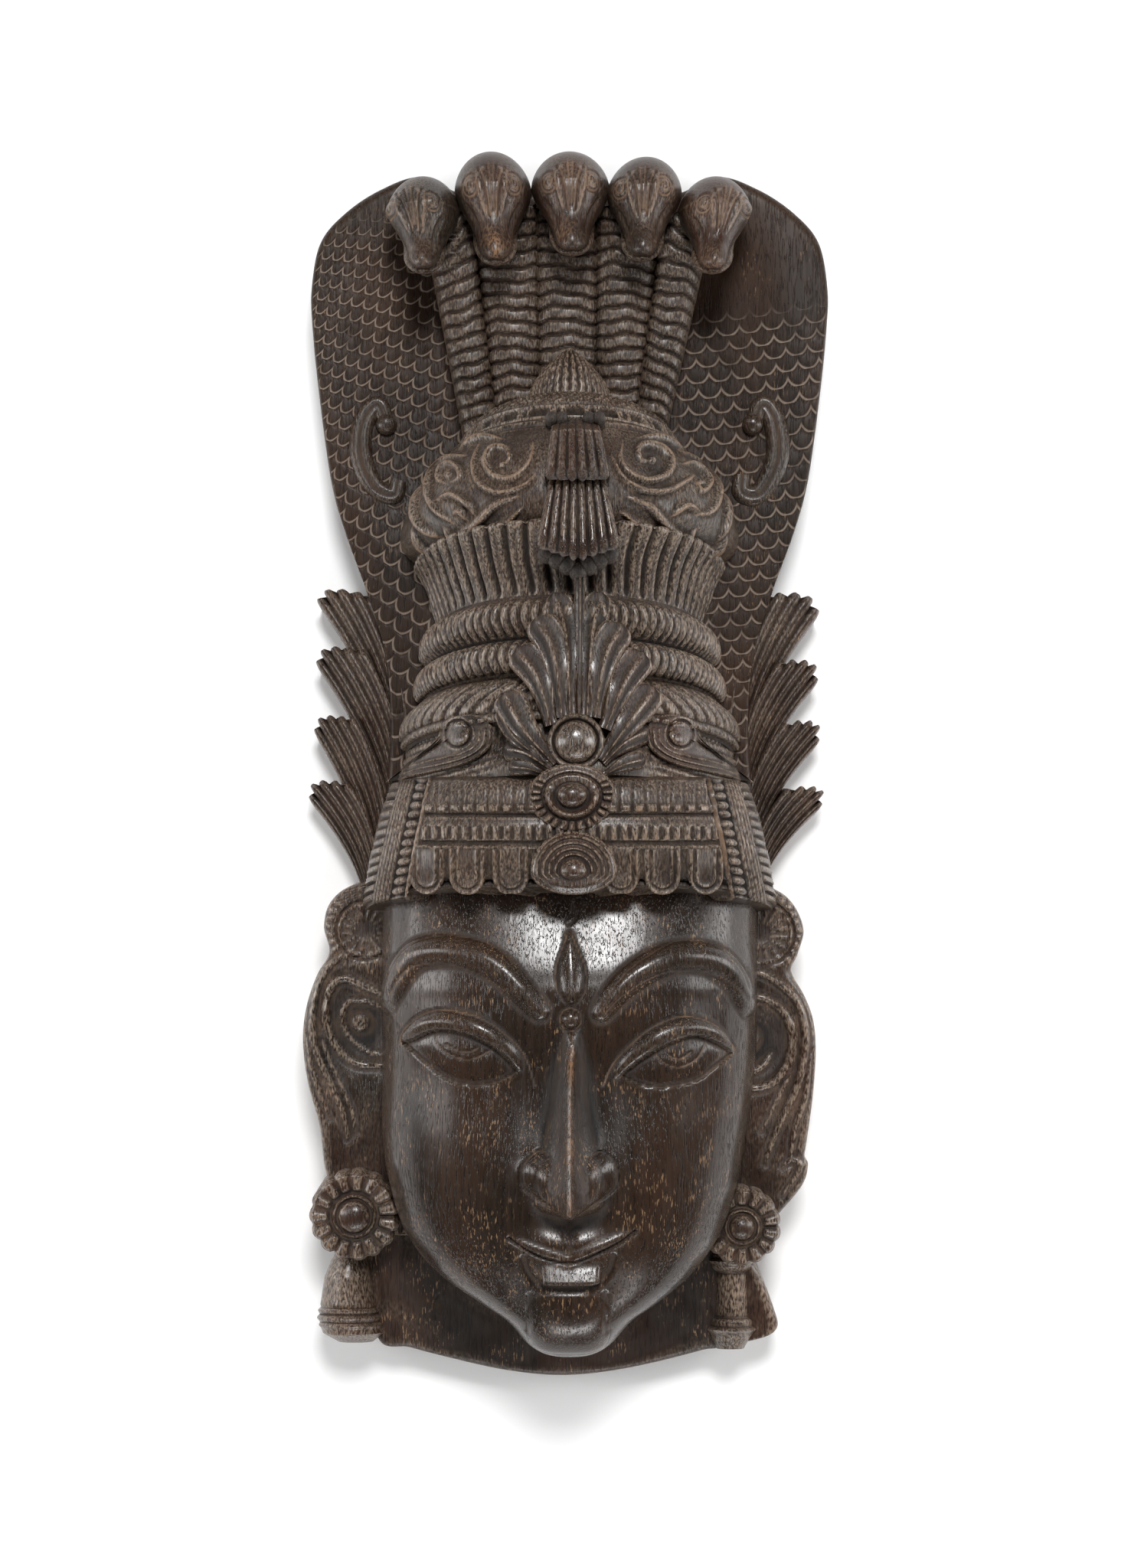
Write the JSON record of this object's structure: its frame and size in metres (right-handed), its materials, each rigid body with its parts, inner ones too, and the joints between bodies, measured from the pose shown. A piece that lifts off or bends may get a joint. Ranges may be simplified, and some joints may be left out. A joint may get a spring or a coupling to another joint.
{
  "type": "carved wooden deity mask",
  "caption": "Tall hardwood wall mask: a calm deity face under a tiered crown and headband, with ears, earrings and side fronds, backed by a serpent hood.",
  "frame": {"origin": "middle of the mask's outline, on the flat sawn back that it lies on", "axes": "+Z out of the face, +Y up the mask towards the serpent heads, +X to the viewer's right"},
  "size_m": [0.3012, 0.6916, 0.1566],
  "materials": {
    "dark_hardwood": "dark brown hardwood, hand polished and worn, satin to semi-gloss on high places, with tan wear on edges and pale dust in the carved grooves"
  },
  "bodies": {
    "root": {"carved_mask": "dark_hardwood"}
  },
  "joints": []
}
